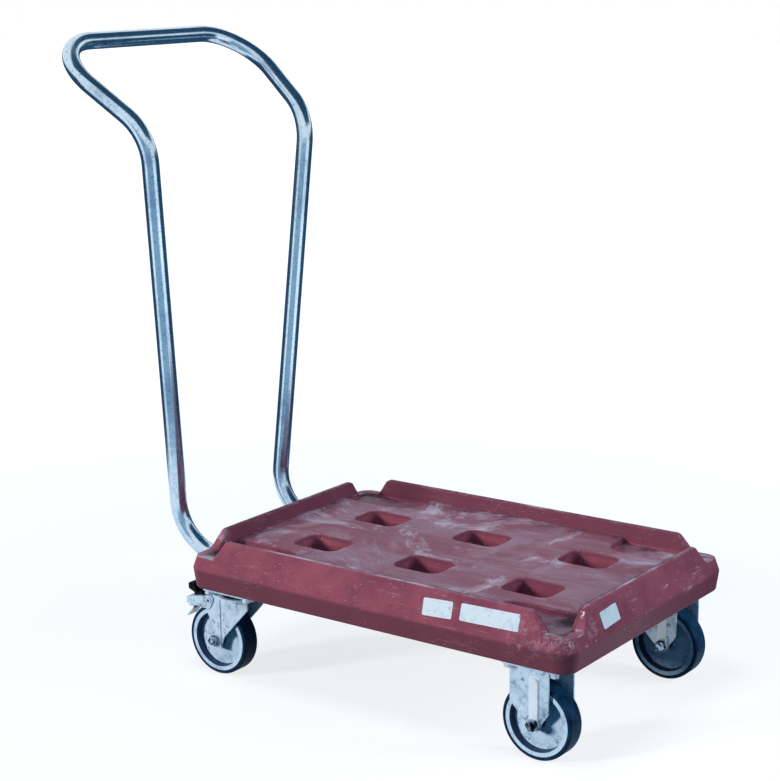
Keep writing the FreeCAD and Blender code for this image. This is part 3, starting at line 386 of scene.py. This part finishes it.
def platform_finish():
    finish = Finish("moulded_maroon", Specular_IOR_Level=0.12)
    x, y, height = finish.split(finish.place)
    facing_x, _, facing_z = finish.split(finish.geometry("Normal"))
    across = finish.math("ABSOLUTE", y)
    along = finish.math("ABSOLUTE", finish.math("SUBTRACT", x, CENTRE_X))
    mottle = finish.between(finish.noise(13.0, detail=6.0, roughness=0.7), 0.34, 0.66)
    surface = finish.mix(mottle, MAROON_DEEP, MAROON)
    # The lower wall faces down and is painted darker: painted shade.
    shaded_lower_wall = finish.between(height, WAIST + 0.003, WAIST - 0.005)
    surface = finish.mix(finish.times(shaded_lower_wall, 0.75), surface, MAROON_SHADE_AND_DECK)
    upward = finish.between(facing_z, 0.75, 0.97)
    high_enough = finish.between(height, CORNER_FLOOR - 0.006, CORNER_FLOOR - 0.001)
    deck = finish.times(upward, high_enough)
    inside = tray_inside(finish, along, across)
    surface = tray_tones(finish, surface, height, inside, upward)
    surface, lines = deck_haze(finish, surface, deck)
    surface, patchy = foot_dirt(finish, surface, deck, inside, along, across)
    surface = corner_floors(finish, surface, deck, patchy)
    soft = finish.softened(0.004)
    surface = edge_scuffs(finish, surface, height, inside, soft)
    surface = wall_nicks(finish, surface, scale=150.0, share=0.5)
    surface = wall_nicks(finish, surface, scale=330.0, share=0.4)
    surface = wall_scratches(finish, surface)
    surface = end_scrapes(finish, surface, height, facing_x)
    finish.set("Base Color", corner_scuffs(finish, surface))
    finish.set("Roughness", finish.level(finish.noise(7.0, detail=5.0), 0.40, 0.60))
    grain = finish.times(finish.noise(420.0, detail=3.0, roughness=0.6), 0.4)
    waves = finish.times(finish.noise(20.0, detail=2.0, roughness=0.4), 3.0)
    relief = finish.math("ADD", grain, finish.math("ADD", lines, waves))
    finish.bump(relief, strength=0.2, distance=0.0009, normal=soft)
    return finish


platform_paint = platform_finish()
paint(platform_paint, ["platform_shell"])
print("platform finish nodes:", len(platform_paint.tree.nodes))

# %% [markdown]
# ## Polished tube
# The handle is a bright steel tube. Its look is nearly all reflection, so the finish is a clean
# metal whose gloss varies a little with hand marks and fine lengthwise polishing.

# %% Finish of the handle
STEEL = colour(198, 222, 240)
STEEL_DULL = colour(150, 176, 204)
STEEL_PITTED = colour(64, 88, 114)


def tube_finish():
    finish = Finish("polished_tube", Metallic=1.0)
    marks = finish.noise(9.0, detail=6.0, roughness=0.7)
    surface = finish.mix(finish.between(marks, 0.42, 0.70), STEEL, STEEL_DULL)
    pitted = finish.between(finish.noise(190.0, detail=6.0, roughness=0.75), 0.54, 0.68)
    finish.set("Base Color", finish.mix(finish.times(pitted, 0.7), surface, STEEL_PITTED))
    polish = finish.streaks((90.0, 90.0, 6.0), detail=3.0, roughness=0.6)
    smudge = finish.times(finish.between(marks, 0.5, 0.75), 0.14)
    finish.set("Roughness", finish.math("ADD", finish.level(polish, 0.12, 0.24), smudge))
    dents = finish.noise(170.0, detail=5.0, roughness=0.7)
    finish.bump(dents, strength=0.16, distance=0.0005)
    return finish


tube_paint = tube_finish()
paint(tube_paint, ["push_handle"])
print("handle finish nodes:", len(tube_paint.tree.nodes))

# %% [markdown]
# ## Zinc and rubber of the castors
# The pressed forks are zinc plated, which leaves a pale mottled skin with greasy smears. The rib of
# the front forks is painted bright: a painted highlight. The tyres are dark rubber under a thin film
# of dust. Each is one short recipe.

# %% Zinc and rubber
ZINC = colour(210, 230, 246)
ZINC_DARK = colour(78, 106, 136)
ZINC_GREASY = colour(34, 62, 92)
ZINC_RIB_HIGHLIGHT = colour(240, 248, 252)
RUBBER = colour(2, 26, 48)
RUBBER_DUSTY = colour(34, 70, 102)
FRONT_AXLE_X = CENTRE_X + 0.303
RIB_FOOT = (0.060, 0.070)
RIB_HEAD = (0.142, 0.137)
RIB_SIDE = (0.0090, 0.0078)


def zinc_finish():
    finish = Finish("zinc_plate", Metallic=0.35)
    cells = finish.add("ShaderNodeTexVoronoi", {"Vector": finish.place, "Scale": 130.0})
    spangle = finish.add("ShaderNodeRGBToBW", {"Color": cells.outputs["Color"]}).outputs["Val"]
    stain = finish.noise(38.0, detail=5.0, roughness=0.7)
    mottle = finish.times(finish.between(stain, 0.40, 0.72), spangle)
    surface = finish.mix(mottle, ZINC, ZINC_DARK)
    smears = finish.between(finish.noise(90.0, detail=6.0, roughness=0.7), 0.55, 0.68)
    surface = finish.mix(finish.times(smears, 0.7), surface, ZINC_GREASY)
    x, _, height = finish.split(finish.place)
    # A band over the rib of each front fork is painted bright: a painted highlight.
    from_rib = finish.math("ABSOLUTE", finish.math("SUBTRACT", x, FRONT_AXLE_X))
    rib = finish.times(finish.between(from_rib, *RIB_SIDE), finish.band(height, RIB_FOOT, RIB_HEAD))
    finish.set("Base Color", finish.mix(finish.times(rib, 0.85), surface, ZINC_RIB_HIGHLIGHT))
    finish.set("Roughness", finish.level(stain, 0.30, 0.52))
    finish.bump(stain, strength=0.05, distance=0.0008)
    return finish


def rubber_finish():
    finish = Finish("tyre_rubber", Specular_IOR_Level=0.06)
    dust = finish.noise(45.0, detail=5.0, roughness=0.7)
    finish.set("Base Color", finish.mix(finish.between(dust, 0.30, 0.70), RUBBER, RUBBER_DUSTY))
    finish.set("Roughness", finish.level(dust, 0.42, 0.68))
    finish.bump(finish.noise(600.0, detail=2.0), strength=0.12, distance=0.0004)
    return finish


# %% [markdown]
# ## Hubs, mouldings and small metal of the castors
# The hubs are pale plastic dishes. Rubber smears their outer edge and specks of dirt sit in the
# dish, so the recipe measures how far a point is from the axle. The dish wall is painted dark:
# painted shade. The pedal covers and seals are plain black mouldings. Nuts, balls and inserts are
# bare metal with bright and dull patches.

# %% Hubs, mouldings and small metal
HUB = colour(212, 234, 252)
HUB_DIRTY = colour(98, 136, 174)
HUB_WALL_SHADE = colour(26, 52, 82)
HUB_SPECKS = colour(44, 64, 88)
HUB_DISH_START = (0.034, 0.043)
HUB_DISH_END = (0.050, 0.047)
HUB_EDGE = (0.0552, 0.0564)
BLACK = colour(10, 14, 20)
BLACK_WORN = colour(38, 44, 52)
BRASS = colour(186, 154, 92)
BRASS_DULL = colour(150, 118, 66)
AXLE_BRIGHT = colour(160, 184, 206)
AXLE_DARK = colour(12, 26, 44)


def moulded_finish(name, clean, dirty, scale, share):
    """Plain plastic with a fine grain; gives back its colour too, for more wear."""
    finish = Finish(name, Specular_IOR_Level=0.06)
    dirt = finish.noise(scale, detail=6.0, roughness=0.7)
    spread = finish.times(finish.between(dirt, 0.45, 0.74), share)
    surface = finish.mix(spread, clean, dirty)
    finish.set("Base Color", surface)
    finish.set("Roughness", finish.level(dirt, 0.38, 0.6))
    finish.bump(finish.noise(500.0, detail=2.0), strength=0.08, distance=0.0004)
    return finish, surface


def hub_finish(name):
    """Pale plastic, rubber at its outer edge, dirt specks in its dish and painted shade on its wall.
    """
    low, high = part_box(name)
    axle = (low + high) / 2
    finish, surface = moulded_finish(name + "_plastic", HUB, HUB_DIRTY, scale=55.0, share=0.7)
    out = finish.vector_math("SUBTRACT", finish.place, axle)["Vector"]
    across_axle = finish.vector_math("MULTIPLY", out, (1.0, 0.0, 1.0))["Vector"]
    reach = finish.vector_math("LENGTH", across_axle)["Value"]
    specks = finish.between(finish.noise(150.0, detail=5.0, roughness=0.75), 0.54, 0.64)
    specked = finish.times(finish.band(reach, HUB_DISH_START, HUB_DISH_END), specks, 0.8)
    surface = finish.mix(specked, surface, HUB_SPECKS)
    # The dish wall, which faces across the axle, is painted dark: painted shade.
    _, facing, _ = finish.split(finish.geometry("Normal"))
    wall = finish.between(finish.math("ABSOLUTE", facing), 0.80, 0.50)
    surface = finish.mix(finish.times(wall, 0.95), surface, HUB_WALL_SHADE)
    finish.set("Base Color", finish.mix(finish.between(reach, *HUB_EDGE), surface, RUBBER))
    return finish


def plain_metal(name, bright, dull):
    finish = Finish(name, Metallic=1.0)
    stain = finish.noise(80.0)
    finish.set("Base Color", finish.mix(finish.between(stain, 0.38, 0.55), bright, dull))
    finish.set("Roughness", finish.level(stain, 0.2, 0.4))
    return finish


# %% Paint the castors
brass_nodes = named("inserts")
ball_nodes = named("race_balls")
tyre_nodes = named("tyre")
hub_nodes = named("wheel_hub")
black_nodes = named("pedal_tread", "dust_seal")
axle_nodes = named("axle_nut", "axle_bolt")
other = set(brass_nodes + ball_nodes + tyre_nodes + hub_nodes + black_nodes + axle_nodes)
other |= {"platform_shell", "push_handle"}
black_plastic, _ = moulded_finish("black_plastic", BLACK, BLACK_WORN, scale=70.0, share=0.7)
paint(zinc_finish(), sorted(set(nodes) - other))
paint(rubber_finish(), tyre_nodes)
for name in hub_nodes:
    paint(hub_finish(name), [name])
paint(black_plastic, black_nodes)
paint(plain_metal("brass_insert", BRASS, BRASS_DULL), brass_nodes)
paint(plain_metal("ball_steel", STEEL, STEEL_DULL), ball_nodes)
paint(plain_metal("axle_steel", AXLE_BRIGHT, AXLE_DARK), axle_nodes)
print("zinc solids:", len(nodes) - len(other), "hubs:", len(hub_nodes))

# %% [markdown]
# ## Blank labels
# Three pale stickers of bare film sit on the sloping walls. Each is a thin plate with rounded
# corners: a flattened cube with its four short edges bevelled. A matrix of the wall's own
# directions lays it in place, and the place goes into the mesh.

# %% Plates for the labels
LABEL_FILM = colour(218, 227, 232)
LABEL_STAIN = colour(162, 178, 194)
LABEL_THICKNESS = 0.0006
LABEL_CORNER = 0.003


def add_object(name, shape):
    """Turn a finished bmesh into an object of the scene."""
    mesh = bpy.data.meshes.new(name)
    shape.to_mesh(mesh)
    shape.free()
    piece = bpy.data.objects.new(name, mesh)
    bpy.context.scene.collection.objects.link(piece)
    return piece


def rounded_plate(name, width, height):
    """Thin plate about the origin, with its four corners rounded in plan."""
    shape = bmesh.new()
    bmesh.ops.create_cube(shape, size=1.0)
    bmesh.ops.scale(shape, vec=(width, height, LABEL_THICKNESS), verts=shape.verts)
    upright = []
    for edge in shape.edges:
        start, end = edge.verts
        if abs(start.co.z - end.co.z) > LABEL_THICKNESS / 2:
            upright.append(edge)
    bmesh.ops.bevel(
        shape,
        geom=upright,
        offset=LABEL_CORNER,
        segments=5,
        profile=0.5,
        material=-1,
        affect="EDGES",
    )
    return add_object(name, shape)


def label_finish():
    finish = Finish("label_film", Specular_IOR_Level=0.1)
    stain = finish.noise(70.0, detail=6.0, roughness=0.75)
    finish.set("Base Color", finish.mix(finish.between(stain, 0.50, 0.74), LABEL_FILM, LABEL_STAIN))
    finish.set("Roughness", finish.level(stain, 0.45, 0.65))
    return finish


# %% Labels on the walls
WALL_SLOPE = math.hypot(WALL_FLARE, RIM_TOP - WAIST)
WALL_IN = WALL_FLARE / WALL_SLOPE
WALL_UP = (RIM_TOP - WAIST) / WALL_SLOPE
# name, wall, place along it and up it, width, height, and tilt in degrees
LABELS = (
    ("label_small", "near", 0.137, 0.028, 0.055, 0.0275, 3.0),
    ("label_long", "near", 0.233, 0.032, 0.107, 0.0272, 1.3),
    ("label_end", "end", -0.122, 0.026, 0.051, 0.0272, 3.0),
)


def wall_place(side, along, up, tilt):
    """Matrix that lays a plate on a sloping wall: x along it, y up it and z out of it."""
    if side == "near":
        foot = Vector((CENTRE_X + along, -HALF_WIDTH, WAIST))
        right = Vector((1, 0, 0))
        rise = Vector((0, WALL_IN, WALL_UP))
    else:
        foot = Vector((CENTRE_X + HALF_LENGTH, along, WAIST))
        right = Vector((0, 1, 0))
        rise = Vector((-WALL_IN, 0, WALL_UP))
    out = right.cross(rise)
    basis = Matrix((right, rise, out)).transposed().to_4x4()
    spot = foot + rise * up + out * (LABEL_THICKNESS / 2)
    return Matrix.Translation(spot) @ basis @ Matrix.Rotation(math.radians(tilt), 4, "Z")


label_paint = label_finish()
for name, side, along, up, width, height, tilt in LABELS:
    label = rounded_plate(name, width, height)
    label.data.transform(wall_place(side, along, up, tilt))
    label.data.materials.append(label_paint.material)
    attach(label, "platform")
print("labels:", len(LABELS))

# %% [markdown]
# ## Floor and world
# The trolley stands on a plain pale floor in a white world. Both are white to the camera and to
# reflections, but light the object only gently, so that its colours come out as they are written.
# Light Path tells these rays apart. The floor keeps the trolley's shadow near it, and is lifted to
# white where the lamps no longer reach.

# %% Floor and world
WHITE = (1.0, 1.0, 1.0, 1.0)
FLOOR_SIZE = 40.0
FLOOR_COLOUR = colour(140, 144, 150)
FLOOR_BOUNCE = colour(24, 36, 52)
FLOOR_LIFT = 0.78
FLOOR_LIT = (0.9, 2.6)
AMBIENT = (0.12, 0.55, 1.0, 1.0)
AMBIENT_STRENGTH = 0.26


def seen_rays(tree):
    """1 for rays that show the background: camera, glossy and transmission rays."""
    path = tree.nodes.new("ShaderNodeLightPath")
    shown = path.outputs["Is Camera Ray"]
    for ray in ("Is Glossy Ray", "Is Transmission Ray"):
        either = tree.nodes.new("ShaderNodeMath")
        either.operation = "MAXIMUM"
        tree.links.new(shown, either.inputs[0])
        tree.links.new(path.outputs[ray], either.inputs[1])
        shown = either.outputs[0]
    return shown


def make_floor():
    shape = bmesh.new()
    bmesh.ops.create_grid(shape, x_segments=1, y_segments=1, size=FLOOR_SIZE / 2)
    floor = add_object("studio_floor", shape)
    finish = Finish("floor_paint", Roughness=0.9, Specular_IOR_Level=0.1, Emission_Color=WHITE)
    seen = seen_rays(finish.tree)
    lift = finish.level(finish.spot((0.0, 0.0, 0.0), *FLOOR_LIT), 1.0, FLOOR_LIFT)
    finish.set("Base Color", finish.mix(seen, FLOOR_BOUNCE, FLOOR_COLOUR))
    finish.set("Emission Strength", finish.times(seen, lift))
    floor.data.materials.append(finish.material)


def make_world():
    world = bpy.data.worlds.new("studio_world")
    world.use_nodes = True
    tree = world.node_tree
    tree.nodes.clear()
    output = tree.nodes.new("ShaderNodeOutputWorld")
    white = tree.nodes.new("ShaderNodeBackground")
    white.inputs["Color"].default_value = WHITE
    ambient = tree.nodes.new("ShaderNodeBackground")
    ambient.inputs["Color"].default_value = AMBIENT
    ambient.inputs["Strength"].default_value = AMBIENT_STRENGTH
    choose = tree.nodes.new("ShaderNodeMixShader")
    tree.links.new(seen_rays(tree), choose.inputs["Fac"])
    tree.links.new(ambient.outputs[0], choose.inputs[1])
    tree.links.new(white.outputs[0], choose.inputs[2])
    tree.links.new(choose.outputs[0], output.inputs["Surface"])
    bpy.context.scene.world = world


make_floor()
make_world()
print("floor %.0f m wide, ambient strength %.2f" % (FLOOR_SIZE, AMBIENT_STRENGTH))

# %% [markdown]
# ## Lamps
# Low light from a window on the near left reaches under the platform, as the shadows of the forks
# on the wheels show. A soft lamp at the front end fills the shade there, and one overhead lights
# the deck. No lamp shows in reflections: against the light, its gloss would bleach the worn deck,
# and the tube has the white world to reflect.

# %% Lamps
AIM = Vector((CENTRE_X - 0.1, 0.0, 0.30))
WINDOW_TOWARDS = (-0.487, -0.811, 0.326)
WINDOW_STRENGTH = 2.55
WINDOW_SPREAD = math.radians(11.0)


def add_lamp(name, data):
    lamp = bpy.data.objects.new(name, data)
    lamp.visible_glossy = False
    bpy.context.scene.collection.objects.link(lamp)
    return lamp


def area_lamp(name, spot, size, watts, tint):
    """Square lamp that faces the trolley."""
    data = bpy.data.lights.new(name, "AREA")
    data.shape = "SQUARE"
    data.size = size
    data.energy = watts
    data.color = tint
    lamp = add_lamp(name, data)
    lamp.location = spot
    lamp.rotation_euler = (AIM - Vector(spot)).to_track_quat("-Z", "Y").to_euler()
    return lamp


def sun_lamp(name, towards, strength, spread):
    """Distant lamp; towards is the direction in which it is seen."""
    data = bpy.data.lights.new(name, "SUN")
    data.energy = strength
    data.angle = spread
    lamp = add_lamp(name, data)
    lamp.rotation_euler = Vector(towards).to_track_quat("Z", "Y").to_euler()
    return lamp


lamps = (
    sun_lamp("low_window", WINDOW_TOWARDS, WINDOW_STRENGTH, WINDOW_SPREAD),
    area_lamp("fill_lamp", (3.0, 1.2, 1.5), 1.2, 66.0, (0.84, 0.94, 1.0)),
    area_lamp("overhead_lamp", (CENTRE_X - 0.1, -0.7, 2.8), 1.0, 28.0, (0.97, 0.98, 1.0)),
)
print("lamps:", len(lamps))

# %% [markdown]
# ## Cards for reflections
# A bright tube in a white world would look white all over. A dark cove behind the trolley, a paler
# one before it and a dark panel above it give the tube its streaks, as black cards do in a studio.
# Only reflections see them. A cove is a bent line that is spun part of the way round the handle.

# %% Cards for reflections
CARD_DARK = colour(46, 80, 104)
CARD_MIDDLE = colour(152, 182, 202)
CARD_BASE = (0.0, 0.0, 0.0, 1.0)
COVE_CENTRE = Vector((-0.42, 0.0, 0.0))
# distance from the centre and height of each point of the bent line
COVE_PROFILE = ((0.9, 0.004), (3.4, 0.004), (3.9, 0.3), (4.0, 1.35))
COVE_STEPS = 40
PANEL_SCALE = (6.3, 7.0, 1.0)
PANEL_SPOT = (1.85, 2.0, 3.4)


def reflection_card(name, shape, tone):
    """Object that reflections see and that neither lights nor shades anything."""
    card = add_object(name, shape)
    card.visible_camera = False
    card.visible_diffuse = False
    card.visible_shadow = False
    finish = Finish(
        name + "_cloth",
        Roughness=1.0,
        Specular_IOR_Level=0.0,
        Base_Color=CARD_BASE,
        Emission_Color=tone,
        Emission_Strength=1.0,
    )
    card.data.materials.append(finish.material)
    return card


def cove(name, start, end, tone):
    """Part of a round cove about the handle, between two directions in degrees from +X."""
    shape = bmesh.new()
    first = Vector((math.cos(math.radians(start)), math.sin(math.radians(start)), 0.0))
    ring = []
    for reach, rise in COVE_PROFILE:
        ring.append(shape.verts.new(COVE_CENTRE + first * reach + Vector((0, 0, rise))))
    sides = [shape.edges.new(pair) for pair in zip(ring, ring[1:])]
    bmesh.ops.spin(
        shape,
        geom=ring + sides,
        cent=COVE_CENTRE,
        axis=(0, 0, 1),
        angle=math.radians(end - start),
        steps=COVE_STEPS,
    )
    return reflection_card(name, shape, tone)


def panel_above():
    shape = bmesh.new()
    bmesh.ops.create_grid(shape, x_segments=1, y_segments=1, size=0.5)
    bmesh.ops.scale(shape, vec=PANEL_SCALE, verts=shape.verts)
    bmesh.ops.translate(shape, vec=PANEL_SPOT, verts=shape.verts)
    return reflection_card("panel_above", shape, CARD_DARK)


cards = (
    cove("cove_behind", 20, 235, CARD_DARK),
    cove("cove_before", 265, 340, CARD_MIDDLE),
    panel_above(),
)
print("cards for reflections:", len(cards))

# %% [markdown]
# ## Camera
# The photograph was taken from the front right corner, a little above the grip's height. The
# camera's place, its slight roll and its focal length in pixels were fitted to the edges of the
# platform and the wheels, and the lens follows from the frame's height.

# %% Camera
FRAME_HEIGHT = 781
SENSOR = 36.0
FOCAL_PIXELS = 1901.7
AZIMUTH, ELEVATION, ROLL = (math.radians(angle) for angle in (36.40, 13.01, -0.835))
CAMERA_SPOT = Vector((CENTRE_X + 1.7470, -2.5457, 1.2188))

back = Vector((
    math.sin(AZIMUTH) * math.cos(ELEVATION),
    -math.cos(AZIMUTH) * math.cos(ELEVATION),
    math.sin(ELEVATION),
))
level = Vector((0, 0, 1)).cross(back).normalized()
upright = back.cross(level)
right = level * math.cos(ROLL) + upright * math.sin(ROLL)
up = upright * math.cos(ROLL) - level * math.sin(ROLL)
turn = Matrix((right, up, back)).transposed().to_4x4()
camera = bpy.data.objects.new("camera", bpy.data.cameras.new("camera"))
camera.matrix_world = Matrix.Translation(CAMERA_SPOT) @ turn
camera.data.sensor_width = SENSOR
camera.data.lens = FOCAL_PIXELS * SENSOR / FRAME_HEIGHT
bpy.context.scene.collection.objects.link(camera)
bpy.context.scene.camera = camera
bpy.context.scene.view_settings.view_transform = "Standard"
print("lens %.2f mm" % camera.data.lens)
